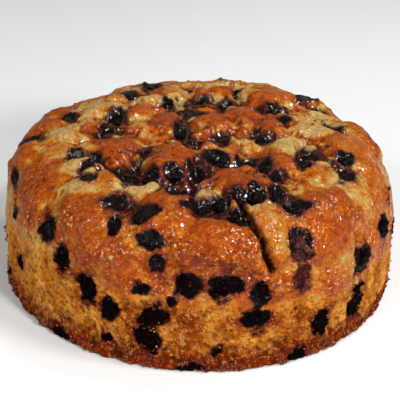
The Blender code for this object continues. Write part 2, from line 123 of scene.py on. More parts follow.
# Red-brown foot: its height in metres, and how much higher it is in front
FOOT_BAND = 0.0065
FOOT_BAND_FRONT = 0.0065

CRUMB_COUNT = 8000
CRUMB_SEED = 21

# The front view: pixels of a 400 pixel square, metres and radians
VIEW_DISTANCE = 0.550
VIEW_ELEVATION = math.radians(28.4)
VIEW_ROLL = math.radians(2.0)
VIEW_AIM_HEIGHT = 0.035
VIEW_FOCAL_PIXELS = 1056.0
VIEW_CENTRE_PIXEL = 200.0
VIEW_PIXELS = 400
SENSOR_WIDTH = 36.0
SIGHT_REACH = 0.16
SIGHT_STEPS = 3201

# Faceting of the fine skin
CAP_RINGS = 104
CAP_REACH = 0.093
SIDE_ROWS = 86

# Seeded lobes and raisins where the front view doesn't see
BACK_SEED = 11
BACK_RAISINS = 34
BACK_RAISIN_SPACING = 0.0165
BACK_LOBES = 26
BACK_LOBE_SPACING = 0.019
BACK_FACING = 0.12

# Lobes of risen batter: pixel x and y, half length and half width in mm, turn of the length in
# degrees anticlockwise in the view, rise in mm, and how browned it is from 0 (pale) to 1 (red-brown)
LOBES = (
    (171, 155, 19, 13, 100, 4.2, 0.66), (163, 121, 14, 9, 90, 3, 0.92),
    (141, 110, 12, 9, 5, 3.5, 0.55), (143, 124, 6, 6, 0, 2, 0.15), (214, 119, 12, 8, -30, 3.2, 0.72),
    (243, 115, 16, 10, 100, 3.6, 0.66), (222, 90, 8, 8, 0, 3.5, 0.70), (206, 92, 8, 6, 0, 2.5, 0.60),
    (270, 95, 15, 13, 0, 3.8, 0.55), (271, 122, 12, 7, -35, 2.6, 0.70),
    (285, 118, 9, 7, -10, 2.5, 0.45), (211, 144, 6, 5, 0, 2.5, 0.45), (222, 154, 11, 7, -5, 2.5, 0.35),
    (241, 139, 5, 7, 0, 2, 0.10), (240, 180, 15, 12, -10, 3.8, 0.78), (252, 90, 8, 8, 0, 4, 0.12),
    (312, 101, 13, 9, -15, 3.6, 0.15), (284, 143, 13, 8, 20, 3, 0.08),
    (283, 160, 10, 9, 0, 2.2, 0.78), (156, 97, 11, 6, 0, 3, 0.12), (172, 90, 9, 8, 0, 2.2, 0.20),
    (97, 107, 16, 11, 10, 3, 0.10), (113, 96, 9, 6, 15, 2.5, 0.35), (64, 130, 12, 11, 0, 3, 0.14),
    (56, 149, 10, 10, 0, 2.5, 0.35), (40, 126, 14, 10, 35, 3.8, 0.60), (94, 125, 8, 8, 0, 2, 0.45),
    (116, 144, 11, 13, 0, 2.2, 0.82), (87, 147, 8, 8, 0, 2, 0.30), (83, 163, 11, 6, 0, 2, 0.12),
    (105, 180, 10, 13, 0, 2.6, 0.30), (78, 186, 13, 8, 0, 2.5, 0.10), (38, 182, 18, 18, 0, 1.2, 0.66),
    (19, 152, 16, 14, 60, 4.4, 0.55), (82, 212, 15, 14, 0, 3, 0.70), (141, 189, 13, 6, 8, 2, 0.05),
    (166, 208, 12, 15, 0, 3.5, 0.62), (212, 247, 21, 14, -3, 4.5, 0.68),
    (277, 224, 17, 13, 110, 1.4, 0.36), (240, 205, 10, 4, -35, 2.5, 0.35),
    (210, 192, 8, 4, 0, 2, 0.30), (333, 205, 17, 16, 0, 3, 0.72), (350, 147, 17, 18, 0, 3, 0.60),
    (312, 126, 11, 14, 0, 2.5, 0.08), (322, 170, 10, 8, 0, 2, 0.45),
    (376, 178, 12, 12, 0, 0.8, 0.50), (368, 136, 14, 10, -50, 2.8, 0.55),
    (358, 190, 8, 8, 0, 1.5, 0.20), (328, 243, 14, 10, 0, 2.5, 0.62), (338, 282, 14, 14, 0, 1.5, 0.45),
    (95, 252, 18, 9, 0, 2, 0.80), (118, 278, 12, 12, 0, 1.5, 0.70), (32, 262, 12, 18, 0, 1.5, 0.20),
)

# Cracks and grooves: width and depth in mm, how dark the painted shade inside is, then the pixels they
# run through
CRACKS = (
    (1.7, 7.0, 1.0, (228, 193), (240, 203), (252, 224), (262, 238), (268, 258), (275, 273)),
    (1.6, 4.0, 0.8, (72, 155), (90, 157), (107, 165), (121, 179)),
    (1.6, 3.0, 0.6, (49, 127), (57, 120), (72, 119)),
    (1.8, 3.5, 1.0, (195, 160), (197, 176), (188, 190)),
    (1.6, 3.0, 0.6, (294, 103), (312, 107), (328, 111)),
    (1.8, 2.0, 0.5, (15, 238), (21, 256), (22, 285)),
    (1.8, 2.0, 0.5, (360, 236), (356, 262), (354, 290), (348, 318)),
    (3.4, 1.6, 0.30, (134, 268), (164, 276), (192, 272), (224, 271), (254, 280), (280, 296)),
)

# Raisins: pixel x and y, length and width in mm, turn of the length in degrees in the view
RAISINS = (
    (49, 229, 12, 10, 40), (63, 258, 12, 8.8, 80), (88, 286, 12, 9.8, 110),
    (110, 308, 11.5, 8.5, 85), (62, 326, 11, 8.5, 110), (154, 316, 14, 7.2, 10),
    (147, 338, 12.5, 10.5, 130), (188, 285, 12, 9.6, 35), (172, 300, 4.5, 4, 60),
    (224, 286, 15.5, 9.4, 2), (261, 294, 10.5, 8.6, 90), (256, 317, 14, 6.8, 8),
    (319, 320, 12, 9, 80), (353, 308, 12.5, 8.2, 62), (357, 286, 6.5, 5, 50),
    (361, 259, 13.5, 10.6, 75), (381, 226, 12.5, 9, 70), (386, 196, 7, 6, 60),
    (296, 349, 10.5, 8.6, 60), (191, 363, 12, 4.4, 2), (216, 351, 4.5, 4, 0),
    (143, 288, 7, 5, 20), (22, 262, 7, 5.5, 90), (108, 341, 6, 4, 0),
    (17, 182, 11.5, 7, 90), (17, 208, 8, 7, 90), (117, 203, 11, 7.5, 10),
    (115, 226, 10.5, 5.5, 85), (146, 217, 12, 8, 12), (150, 241, 10.5, 8, 160),
    (157, 263, 8, 6, 85), (299, 246, 14.5, 11, 100), (301, 276, 10.5, 8.5, 60),
    (296, 209, 12.5, 8.5, 4), (276, 196, 11, 7.5, 95), (256, 197, 10.5, 8.5, 60),
    (238, 198, 10, 8, 150), (201, 206, 10.5, 8, 30), (221, 204, 8, 8, 120),
    (237, 221, 11, 8, 165), (127, 176, 11.5, 10, 160), (151, 177, 9.5, 7.5, 90),
    (173, 176, 9.5, 8, 170), (196, 170, 11, 7.5, 90), (175, 195, 8.5, 7.5, 60),
    (189, 191, 8, 6.5, 90), (187, 210, 5.5, 5, 0), (146, 156, 8.5, 6, 90),
    (180, 130, 11, 6.5, 80), (195, 143, 9, 7, 20), (194, 113, 11, 8.5, 160),
    (201, 102, 9, 8.5, 0), (225, 104, 8.5, 7, 20), (191, 89, 8, 7, 0), (237, 94, 8, 6, 60),
    (230, 85, 11, 7, 0), (129, 93, 9.5, 8.5, 0), (168, 104, 7, 5, 60), (274, 111, 9, 8, 0),
    (303, 104, 11.5, 8, 165), (326, 110, 7, 5.5, 0), (284, 125, 6.5, 5.5, 0),
    (333, 126, 8, 6.5, 160), (311, 155, 10.5, 9, 130), (302, 164, 9, 8.5, 150),
    (344, 162, 8.5, 7.5, 60), (345, 175, 11, 9.5, 120), (264, 137, 9, 7, 40),
    (252, 142, 6, 5.5, 0), (223, 140, 9, 6, 70), (216, 161, 13, 7.5, 165),
    (246, 163, 12, 8, 15), (227, 170, 7, 4.5, 0), (265, 166, 11, 6, 90),
    (275, 177, 9, 7, 50), (76, 156, 9, 6.5, 150), (93, 158, 7, 5, 0),
    (90, 168, 8, 5, 20), (90, 182, 8.5, 7.5, 140), (116, 118, 12.5, 7, 70),
    (108, 131, 11, 6, 95), (64, 119, 12, 6.5, 10), (35, 145, 9, 8, 30),
)
# Places in the table of raisins that are brown and glassy rather than black
BROWN_RAISINS = (31, 32, 62, 52)

# Lower edge of the glazed crust, as pixels of the front view from left to right; behind, it runs
# level between the ends
CRUST_LINE = (
    (20, 238), (45, 246), (75, 262), (110, 284), (150, 296), (188, 306), (226, 306), (262, 310),
    (300, 300), (330, 292), (355, 280), (376, 258), (386, 246),
)


# Helpers

def held(value):
    """0 at or under 0, 1 at or over 1, and the value itself between."""
    return np.clip(value, 0.0, 1.0)


def smooth(value, low, high):
    """0 at or under low, 1 at or over high, and an s-curve between."""
    share = held((value - low) / (high - low))
    return share * share * (3 - 2 * share)


# The smooth skin and the front view

def flare(height):
    """How much wider than straight the side is at a height: it spreads a little towards the base."""
    return FLARE * held(1 - height / FLARE_HEIGHT) ** 2


def skin_profile():
    """Distance along the skin from the crown's middle to the foot, with the radius and height there.

    Crown and shoulder are one superellipse, the side below it flares out a little, and the foot is
    a quarter round that ends on the base.
    """
    lean = np.linspace(0.0, 1.0, 4000) ** SHOULDER_POWER * math.pi / 2
    power = 2 / SHOULDER_POWER
    radius = SKIN_RADIUS * np.sin(lean) ** power
    height = SHOULDER_START + (CROWN_HEIGHT - SHOULDER_START) * np.cos(lean) ** power
    height = np.concatenate([height, [FOOT_RADIUS]])
    radius = np.concatenate([radius, [SKIN_RADIUS]])
    turn = np.linspace(0.05, math.pi / 2, 40)
    radius = np.concatenate([radius + flare(height),
                             SKIN_RADIUS + FLARE - FOOT_RADIUS * (1 - np.cos(turn))])
    height = np.concatenate([height, FOOT_RADIUS * (1 - np.sin(turn))])
    along = np.concatenate([[0.0], np.cumsum(np.hypot(np.diff(radius), np.diff(height)))])
    return along, radius, height


ALONG, RADIUS, HEIGHT = skin_profile()
SKIN_LENGTH = float(ALONG[-1])


def skin_at(angle, along):
    """Points and outward normals of the smooth skin, at angles about +Z and distances from the crown."""
    (radius, height), before, after = (
        [np.interp(place, ALONG, values) for values in (RADIUS, HEIGHT)]
        for place in (along, along - SLOPE_STEP, along + SLOPE_STEP))
    spread, drop = after[0] - before[0], before[1] - after[1]
    size = np.hypot(drop, spread) + 1e-12
    across, up = drop / size, spread / size
    points = np.stack([radius * np.cos(angle), radius * np.sin(angle), height], axis=-1)
    normals = np.stack([across * np.cos(angle), across * np.sin(angle), up], axis=-1)
    return points, normals


def view_axes():
    """Eye, and the view's forward, right and up, the last two turned by its roll."""
    forward = np.array([0.0, math.cos(VIEW_ELEVATION), -math.sin(VIEW_ELEVATION)])
    level = np.array([1.0, 0.0, 0.0])
    upright = np.cross(level, forward)
    right = math.cos(VIEW_ROLL) * level + math.sin(VIEW_ROLL) * upright
    up = math.cos(VIEW_ROLL) * upright - math.sin(VIEW_ROLL) * level
    eye = np.array([0.0, 0.0, VIEW_AIM_HEIGHT]) - VIEW_DISTANCE * forward
    return eye, forward, right, up


def skin_share(points, lift):
    """How far out points lie, as a superellipse: under 1 is inside the smooth skin grown by lift."""
    radius = np.hypot(points[..., 0], points[..., 1]) / (SKIN_RADIUS + flare(points[..., 2]) + lift)
    rise = (points[..., 2] - SHOULDER_START) / (CROWN_HEIGHT + lift - SHOULDER_START)
    rise = np.clip(rise, 0.0, None)
    return radius**SHOULDER_POWER + rise**SHOULDER_POWER + 9.0 * (points[..., 2] < 0)


def seen_at(pixels, lift=0.0):
    """Angle about +Z and distance from the crown where each pixel's line of sight meets the skin.

    What lies over the smooth skin gives its lift. A line of sight that passes just over the skin
    counts where it comes nearest.
    """
    eye, forward, right, up = view_axes()
    offset = (np.asarray(pixels, float) - VIEW_CENTRE_PIXEL) / VIEW_FOCAL_PIXELS
    sight = forward + offset[:, :1] * right - offset[:, 1:] * up
    reach = np.linspace(VIEW_DISTANCE - SIGHT_REACH, VIEW_DISTANCE + SIGHT_REACH, SIGHT_STEPS)
    path = eye + reach[None, :, None] * sight[:, None, :]
    share = skin_share(path, np.broadcast_to(lift, len(sight))[:, None])
    hit = np.where((share < 1).any(axis=1), np.argmax(share < 1, axis=1), np.argmin(share, axis=1))
    points = path[np.arange(len(hit)), hit]
    angle = np.arctan2(points[:, 1], points[:, 0])
    nearest = (np.hypot(points[:, 0], points[:, 1])[:, None] - RADIUS) ** 2
    nearest += (points[:, 2][:, None] - HEIGHT) ** 2
    return angle, ALONG[np.argmin(nearest, axis=1)]


def lengthwise(points, normals, turn):
    """Unit tangents of the skin that look turned by so many degrees in the front view."""
    eye, _, right, up = view_axes()
    flat = np.cos(np.radians(turn))[:, None] * right + np.sin(np.radians(turn))[:, None] * up
    sight = points - eye
    sight /= np.linalg.norm(sight, axis=1, keepdims=True)
    slant = np.sum(normals * sight, axis=1, keepdims=True)
    slant = np.where(np.abs(slant) < 0.2, -0.2, slant)
    tangent = flat - np.sum(flat * normals, axis=1, keepdims=True) / slant * sight
    tangent -= np.sum(tangent * normals, axis=1, keepdims=True) * normals
    return tangent / np.linalg.norm(tangent, axis=1, keepdims=True)


def hidden_places(count, spacing, taken, draw):
    """Seeded places on the skin that the front view doesn't show, each at least spacing from the rest."""
    eye = view_axes()[0]
    kept, found = list(taken), []
    while len(found) < count:
        angle, along = draw.uniform(-math.pi, math.pi), draw.uniform(0.03, SKIN_LENGTH - 0.009)
        if draw.uniform(0.0, SKIN_RADIUS) > np.interp(along, ALONG, RADIUS):
            continue
        point, normal = (row[0] for row in skin_at(np.array([angle]), np.array([along])))
        facing = np.dot(normal, eye - point) / np.linalg.norm(eye - point)
        if facing > BACK_FACING or min(np.linalg.norm(point - other) for other in kept) < spacing:
            continue
        kept.append(point)
        found.append((angle, along))
    return np.array(found)


class Ovals:
    """Oval patches of the skin: centres, normals, the tangents along and across, and half sizes."""

    def __init__(self, angle, along, half_length, half_width, turn):
        self.angle, self.along = angle, along
        self.centre, self.normal = skin_at(angle, along)
        self.lengthwise = lengthwise(self.centre, self.normal, turn)
        self.sideways = np.cross(self.normal, self.lengthwise)
        self.half_length, self.half_width = half_length, half_width

    def spread(self, points):
        """Squared distance of each point from each oval's centre, where 1 is the oval's rim."""
        offset = points[:, None, :] - self.centre
        middle = (self.half_length + self.half_width) / 2
        return sum((np.sum(offset * axis, axis=2) / half) ** 2 for axis, half in (
            (self.lengthwise, self.half_length), (self.sideways, self.half_width),
            (self.normal, middle)))


def joined_ovals(*parts):
    """Ovals from arrays whose columns are angle, distance, half length and width in mm, and turn."""
    angle, along, half_length, half_width, turn = np.concatenate(parts).T
    return Ovals(angle, along, MM * half_length, MM * half_width, turn)


def all_lobes(draw):
    """The lobes of the table, and seeded ones on the side that the view doesn't show."""
    table = np.array(LOBES, float)
    seen = seen_at(table[:, :2], 0.5 * MM * table[:, 5])
    places = hidden_places(BACK_LOBES, BACK_LOBE_SPACING, skin_at(*seen)[0], draw)
    count = len(places)
    half = draw.uniform(10, 17, (count, 2))
    rise = draw.uniform(1.2, 3.2, count) * np.where(places[:, 1] > 0.095, 0.4, 1.0)
    back = np.column_stack([places, half, draw.uniform(0, 180, count)])
    ovals = joined_ovals(np.column_stack([*seen, table[:, 2:5]]), back)
    tones = np.concatenate([table[:, 6], np.random.RandomState(BACK_SEED).uniform(0.1, 0.85, count)])
    return ovals, MM * np.concatenate([table[:, 5], rise]), tones


def all_raisins(draw):
    """The raisins of the table, and seeded ones of the same sizes on the side that isn't seen."""
    table = np.array(RAISINS, float)
    seen = seen_at(table[:, :2], RAISIN_LIFT)
    places = hidden_places(BACK_RAISINS, BACK_RAISIN_SPACING, skin_at(*seen)[0], draw)
    count = len(places)
    length = draw.uniform(6.0, 12.5, count)
    width = length * draw.uniform(0.6, 0.85, count)
    back = np.column_stack([places, length / 2, width / 2, draw.uniform(0, 180, count)])
    return joined_ovals(np.column_stack([*seen, table[:, 2:4] / 2, table[:, 4]]), back)


def crack_bells(points):
    """Depth of the cracks in metres, how dark the painted shade of the deepest one is, and the mask of
    the grooves, which carries painted shade.
    """
    depth, dark, groove = np.zeros((3, len(points)))
    for width, deepest, darkness, *pixels in CRACKS:
        angle, along = seen_at(pixels)
        course = skin_at(angle, along)[0]
        for start, end in zip(course[:-1], course[1:]):
            run = end - start
            share = held((points - start) @ run / (run @ run))
            gap = np.linalg.norm(points - start - share[:, None] * run, axis=1)
            bell = np.exp(-((gap / (MM * width)) ** 2))
            depth = np.maximum(depth, MM * deepest * bell)
            if darkness < GROOVE_DARKNESS:
                groove = np.maximum(groove, np.exp(-((gap / (2 * MM * width)) ** 2)))
            else:
                dark = np.maximum(dark, darkness * bell)
    return depth, dark, groove


# Noise fields

def lattice(cells, seed):
    """A whole number from 0 to 255 for each lattice cell, scrambled from its three indices."""
    table = np.random.RandomState(seed).permutation(256)
    mixed = table[cells[..., 0] & 255]
    mixed = table[(mixed + cells[..., 1]) & 255]
    return table[(mixed + cells[..., 2]) & 255]


def swell_noise(points, size, seed):
    """Smooth gradient noise of about -1 to 1, with hills about as wide as size.

    At each corner of a lattice cell a fixed random slope is dotted with the offset from that
    corner, and the eight values are blended with a quintic fade.
    """
    slopes = np.random.RandomState(seed + 900).normal(size=(256, 3))
    slopes /= np.linalg.norm(slopes, axis=1, keepdims=True)
    scaled = points / size
    cells = np.floor(scaled).astype(int)
    offset = scaled - cells
    fade = offset**3 * (offset * (offset * 6 - 15) + 10)
    total = np.zeros(len(points))
    for corner in np.ndindex(2, 2, 2):
        corner = np.array(corner)
        slope = slopes[lattice(cells + corner, seed)]
        weight = np.prod(np.where(corner, fade, 1 - fade), axis=1)
        total += weight * np.sum(slope * (offset - corner), axis=1)
    return total * 1.7


def cell_noise(points, size, seed):
    """Distance to the nearest and second nearest of jittered lattice points, over size, and the
    nearest one's own random number from 0 to 1."""
    spots = np.random.RandomState(seed + 500).uniform(0.0, 1.0, (256, 3))
    scaled = points / size
    cells = np.floor(scaled).astype(int)
    near, second = np.full(len(points), 9.0), np.full(len(points), 9.0)
    own = np.zeros(len(points))
    for corner in np.ndindex(3, 3, 3):
        cell = cells + np.array(corner) - 1
        mixed = lattice(cell, seed)
        gap = np.linalg.norm(cell + spots[mixed] - scaled, axis=1)
        second = np.minimum(second, np.maximum(near, gap))
        own = np.where(gap < near, mixed / 255, own)
        near = np.minimum(near, gap)
    return near, second, own


def wandered(points):
    """Points pushed about by smooth noise, so that what is drawn with them gets a ragged outline."""
    moved = points.copy()
    for octave, (size, reach) in enumerate(zip(WANDER_SIZES, WANDER_REACHES)):
        for axis in range(3):
            moved[:, axis] += reach * swell_noise(points, size, NOISE_SEED + 3 * octave + axis)
    return moved


# The skin's form and its looks, worked out together

draw = np.random.RandomState(BACK_SEED)
LOBE_OVALS, LOBE_RISES, LOBE_TONES = all_lobes(draw)
RAISIN_OVALS = all_raisins(draw)


def smears():
    """Ovals of juice that each raisin of the side has left on it, drawn out up and down."""
    ovals = RAISIN_OVALS
    on_side = np.flatnonzero(ovals.along > SIDE_START)
    half = (ovals.half_length + ovals.half_width)[on_side] / 2
    upright = np.full(len(on_side), 90.0)
    return Ovals(ovals.angle[on_side], ovals.along[on_side] + SMEAR_DROP, SMEAR_LENGTH * half,
                 SMEAR_WIDTH * half, upright)


SMEAR_OVALS = smears()


def coarse_relief(points, along):
    """Height of the solid's relief on the smooth skin, and masks of its lobes, clefts and cracks.

    Each lobe is a dome that falls from its rise as a power of the distance, and a soft maximum
    joins them over the hollow floor. Clefts run where the two highest domes are equal, and then
    cracks, crags of noise and a bell-shaped hollow at each raisin go in.
    """
    share = 1 - LOBE_OVALS.spread(wandered(points)) ** LOBE_POWER
    domes = LOBE_RISES * share
    order = np.argsort(domes, axis=1)
    rows = np.arange(len(points))
    top, next_top = domes[rows, order[:, -1]], domes[rows, order[:, -2]]
    on_top = 1 - held((along - TOP_EDGE) / EDGE_WIDTH)
    floor = HOLLOW_FLOOR * on_top
    height = MELT * np.log(np.exp(domes / MELT).sum(axis=1) + np.exp(floor / MELT))
    lead = np.maximum(top, floor) - np.maximum(next_top, floor)
    crown = 1 - held((along - CLEFTS_EDGE) / EDGE_WIDTH)
    patchy = held(0.3 + 1.6 * swell_noise(points, CLEFT_PATCH, NOISE_SEED + 12))
    cleft = crown * patchy * np.exp(-lead / CLEFT_REACH)
    height -= CLEFT_DEPTH * cleft
    height += CRAG_RISE * (0.3 + 0.7 * on_top) * swell_noise(points, CRAG_SIZE, NOISE_SEED + 9)
    near_raisin = RAISIN_OVALS.spread(points).min(axis=1)
    height -= MM * (0.3 + 0.7 * on_top) * np.exp(-0.7 * near_raisin)
    depth, crack, groove = crack_bells(wandered(points) * 0.12 + points * 0.88)
    height = np.maximum(height - depth, DEEPEST)
    foot_fade = held((SKIN_LENGTH - along - FOOT_RADIUS) / FOOT_FADE)
    # the tone blends between lobes of nearly the same height
    weight = np.exp((domes - top[:, None]) / (0.5 * MM))
    tone = (weight * LOBE_TONES).sum(axis=1) / weight.sum(axis=1)
    return height * foot_fade, SimpleNamespace(
        crest=held(share[rows, order[:, -1]]), tone=tone, cleft=cleft, crack=crack, groove=groove,
        near_raisin=near_raisin)


def crust_edge(angle):
    """Height of the glazed crust's lower edge at each angle about +Z."""
    edge_angle, edge_along = seen_at(CRUST_LINE)
    return np.interp(angle, edge_angle, np.interp(edge_along, ALONG, HEIGHT), period=2 * math.pi)


def skin_fields(angle, along):
    """Raised points of the real skin, and the masks and noises that its colours come from.

    To the solid's relief it adds sums of noise, each under a mask of its own: flakes of torn
    batter, which are cells at levels of their own, with folds and crinkles between the lobes,
    ragged rims round the raisins, dents and a fine grain in the crust, and pits in the crumb.
    """
    base, normals = skin_at(angle, along)
    height, fields = coarse_relief(base, along)
    wander = np.stack([swell_noise(base + 0.3, 0.012, seed) for seed in (1, 2, 3)], axis=1)
    warped = base + 0.0022 * wander
    broad, middle, small = (swell_noise(warped, *hills) for hills in (BROAD, MIDDLE, SMALL))
    grain = swell_noise(base, *GRAIN)
    edge = crust_edge(angle) + 0.005 * swell_noise(base, *CRUST_END) + 0.0025 * middle
    crumb = 1 - smooth(base[:, 2], edge - 0.008, edge + 0.003)
    crust = 1 - crumb
    band = FOOT_BAND + FOOT_BAND_FRONT * smooth(-base[:, 1], 0.02, 0.09)
    foot = 1 - smooth(base[:, 2] + 0.004 * middle + 0.003 * small, 0.55 * band, 1.35 * band)
    on_top = 1 - smooth(along, 0.085, 0.120)
    # folds run where a broad noise changes sign, crinkles where a narrow one does
    fold = held(1 - 2.6 * np.abs(swell_noise(warped, *FOLDS))) ** 2
    crinkle = held(1 - 3.0 * np.abs(swell_noise(warped, *CRINKLES))) ** 2
    ragged = 0.25 + 0.75 * (1 - smooth(along, 0.062, 0.086))
    loose = (1 - smooth(fields.crest, 0.25, 0.95)) * on_top * ragged
    torn = (warped + 0.0009 * np.stack([small, grain, middle], axis=1)) * np.array([0.62, 1.0, 1.0])
    flake_gap, flake_next, flake_tone = cell_noise(torn, *FLAKES)
    flake_edge = np.exp(-(flake_next - flake_gap) / 0.09)
    around_raisin = np.exp(-((fields.near_raisin - 1.45) / 0.9) ** 2)
    fine = 0.0004 * broad + 0.00045 * middle * (0.4 + loose) - 0.0003 * (1 - on_top)
    flake = 0.8 * (flake_tone - 0.5) + 0.3 * (0.55 - flake_gap)
    fine += loose * (FLAKE_RISE * flake - FLAKE_EDGE_DEPTH * flake_edge)
    fine -= FOLD_DEPTH * fold * loose + CRINKLE_DEPTH * crinkle * (0.3 + 0.7 * loose) * on_top * ragged
    rugged = 0.0015 - 0.0009 * on_top
    lip = rugged * swell_noise(base, *LIPS)
    fine += around_raisin * (0.0005 + lip + 0.0008 * middle + 0.0002 * grain)
    dent = 1 - smooth(cell_noise(warped, *DENTS)[0], 0.12, 0.40)
    dent *= smooth(swell_noise(base, *DENT_AREAS) + 0.35 * middle, -0.05, 0.35) * crust
    fine -= DENT_DEPTH * dent
    fine += crust * (0.00022 * small + 0.00009 * grain)
    pit = 1 - smooth(cell_noise(base, *PITS)[0], 0.10, 0.42)
    pin = 1 - smooth(cell_noise(base, *PINS)[0], 0.10, 0.45)
    pore = held(pit * (swell_noise(base, *PIT_AREAS) > -0.15) + 0.6 * pin)
    fine += crumb * (0.00045 * small + 0.00034 * grain - PORE_DEPTH * pore)
    fine += foot * (0.00075 * small + 0.00045 * grain)
    keep = held((SKIN_LENGTH - along) / 0.004)
    points = base + normals * (height + fine * keep)[:, None]
    points[:, 2] = np.clip(points[:, 2], 0.0, None)
    smear = np.exp(-1.2 * np.clip(SMEAR_OVALS.spread(wandered(base)).min(axis=1) - 0.5, 0.0, None))
    streak = swell_noise(base * np.array([1.0, 1.0, 0.33]), *STREAKS)
    vars(fields).update(
        height=height + fine, broad=broad, middle=middle, small=small, crumb=crumb, foot=foot,
        pore=pore * crumb, dent=dent, smear=smear, streak=streak * (1 - on_top),
        fold=np.maximum(fold, 0.6 * crinkle) * loose,
        flake_tone=(flake_tone - 0.5) * loose, flake_edge=flake_edge * loose,
    )
    return points, fields


def ring_grid():
    """Angles and distances of the cap's rings of 6, 12, 18 and so on, and then of the side's rows."""
    rings, rows = np.arange(1, CAP_RINGS + 1), np.arange(1, SIDE_ROWS + 1)
    counts = [*6 * rings, *[6 * CAP_RINGS] * SIDE_ROWS]
    reaches = [*CAP_REACH * rings / CAP_RINGS,
               *CAP_REACH + (SKIN_LENGTH - CAP_REACH) * rows / SIDE_ROWS]
    angles = [np.arange(count) * 2 * math.pi / count for count in counts]
    return np.concatenate([[0.0], *angles]), np.repeat([0.0, *reaches], [1, *counts])


def ring_faces():
    """Triangles and quads of the ring grid, wound outwards, and the base's one ring of corners."""
    spot = np.arange(6)
    triangles = [np.stack([np.zeros(6, int), 1 + spot, 1 + (spot + 1) % 6], axis=1)]
    start = 1
    for ring in range(1, CAP_RINGS):
        few, many, outer = 6 * ring, 6 * ring + 6, start + 6 * ring
        # a triangle on each edge of the outer ring, its tip on the inner one, and the other way round
        far = np.arange(many)
        near = (far - far // (ring + 1)) % few
        triangles.append(np.stack([start + near, outer + far, outer + (far + 1) % many], axis=1))
        near = np.arange(few)
        far = (near + near // ring + 1) % many
        triangles.append(np.stack([start + near, outer + far, start + (near + 1) % few], axis=1))
        start = outer
    around = 6 * CAP_RINGS
    spot = np.arange(around)
    after = (spot + 1) % around
    uppers = start + around * np.arange(SIDE_ROWS)[:, None]
    lowers = uppers + around
    quads = np.stack([uppers + spot, lowers + spot, lowers + after, uppers + after], axis=-1)
    return np.concatenate(triangles), quads.reshape(-1, 4), lowers[-1] + spot[::-1]


def mesh_piece(name, points, face_sets, material, attributes):
    """A smooth mesh object from arrays of corners, with float attributes on its points."""
    mesh = bpy.data.meshes.new(name)
    corners = np.concatenate([faces.ravel() for faces in face_sets]).astype(np.int32)
    sizes = np.concatenate([np.full(len(faces), faces.shape[1]) for faces in face_sets])
    starts = np.concatenate([[0], np.cumsum(sizes)[:-1]]).astype(np.int32)
    mesh.vertices.add(len(points))
    mesh.vertices.foreach_set("co", points.astype(np.float32).ravel())
    mesh.loops.add(len(corners))
    mesh.loops.foreach_set("vertex_index", corners)
    mesh.polygons.add(len(sizes))
    mesh.polygons.foreach_set("loop_start", starts)
    mesh.update(calc_edges=True)
    mesh.validate()
    for label, values in attributes.items():
        layer = mesh.attributes.new(label, "FLOAT", "POINT")
        layer.data.foreach_set("value", values.astype(np.float32))
    mesh.shade_smooth()
    mesh.materials.append(material)
    piece = bpy.data.objects.new(name, mesh)
    bpy.context.scene.collection.objects.link(piece)
    return piece


# Node helpers

class Signal:
    """What a node puts out. A sum with signals adds a Math node to their tree."""

    def __init__(self, socket):
        self.socket = socket

    def next(self, kind, inputs, output=0, **settings):
        """The signal of a new node in the same tree."""
        return node(self.socket.id_data, kind, inputs, output, **settings)

    def math(self, operation, first, second=0.0):
        return self.next("ShaderNodeMath", {0: first, 1: second}, operation=operation)

    def __add__(self, other):
        return self.math("ADD", self, other)

    def __sub__(self, other):
        return self.math("SUBTRACT", self, other)

    def __rsub__(self, other):
        return self.math("SUBTRACT", other, self)

    def __mul__(self, other):
        return self.math("MULTIPLY", self, other)

    def __abs__(self):
        return self.math("ABSOLUTE", self)


def fill(made, inputs):
    """Sets a node's inputs to values, or links them where a signal is given."""
    for key, value in inputs.items():
        if isinstance(value, Signal):
            made.id_data.links.new(value.socket, made.inputs[key])
        else:
            made.inputs[key].default_value = value


def node(tree, kind, inputs, output=0, **settings):
    """The signal of a new node."""
    made = tree.nodes.new(kind)
    for key, value in settings.items():
        setattr(made, key, value)
    fill(made, inputs)
    return Signal(made.outputs[output])


def blend(share, first, second):
    """The first colour, and the second one where the share is 1."""
    if isinstance(second, tuple):
        second = (*second, 1.0)
    return share.next("ShaderNodeMix", {0: share, 6: first, 7: second}, 2, data_type="RGBA")


def ramp(value, *stops):
    """Colour ramp; stops are pairs of place and colour."""
    tint = value.next("ShaderNodeValToRGB", {0: value})
    band = tint.socket.node.color_ramp
    while len(band.elements) < len(stops):
        band.elements.new(0.5)
    for element, (place, colour) in zip(band.elements, stops):
        element.position = place
        element.color = (*colour, 1.0)
    return tint


def span(value, low, high, start=0.0, end=1.0, kind="SMOOTHSTEP"):
    """Maps low..high to start..end, clamped."""
    return value.next("ShaderNodeMapRange", {0: value, 1: low, 2: high, 3: start, 4: end},
                      interpolation_type=kind)


def noise(place, scale, detail=4.0, rough=0.55, warp=0.0):
    return place.next("ShaderNodeTexNoise", {"Vector": place, "Scale": scale, "Detail": detail,
                                             "Roughness": rough, "Distortion": warp})


def cells(place, scale):
    """Distance from the middle of the nearest cell."""
    return place.next("ShaderNodeTexVoronoi", {"Vector": place, "Scale": scale}, "Distance")


def bump(height, distance, strength=1.0):
    return height.next("ShaderNodeBump", {"Strength": strength, "Distance": distance,
                                          "Height": height})


def outputs(made):
    return {socket.name: Signal(socket) for socket in made.outputs}


def group(name, masks, results):
    """An empty shader group that takes a place and the named masks: its tree, inputs and end."""
    tree = bpy.data.node_groups.new(name, "ShaderNodeTree")
    tree.interface.new_socket("Place", in_out="INPUT", socket_type="NodeSocketVector")
    for label in masks:
        tree.interface.new_socket(label, in_out="INPUT", socket_type="NodeSocketFloat")
    for label, kind in results.items():
        tree.interface.new_socket(label, in_out="OUTPUT", socket_type="NodeSocket" + kind)
    return tree, outputs(tree.nodes.new("NodeGroupInput")), tree.nodes.new("NodeGroupOutput")


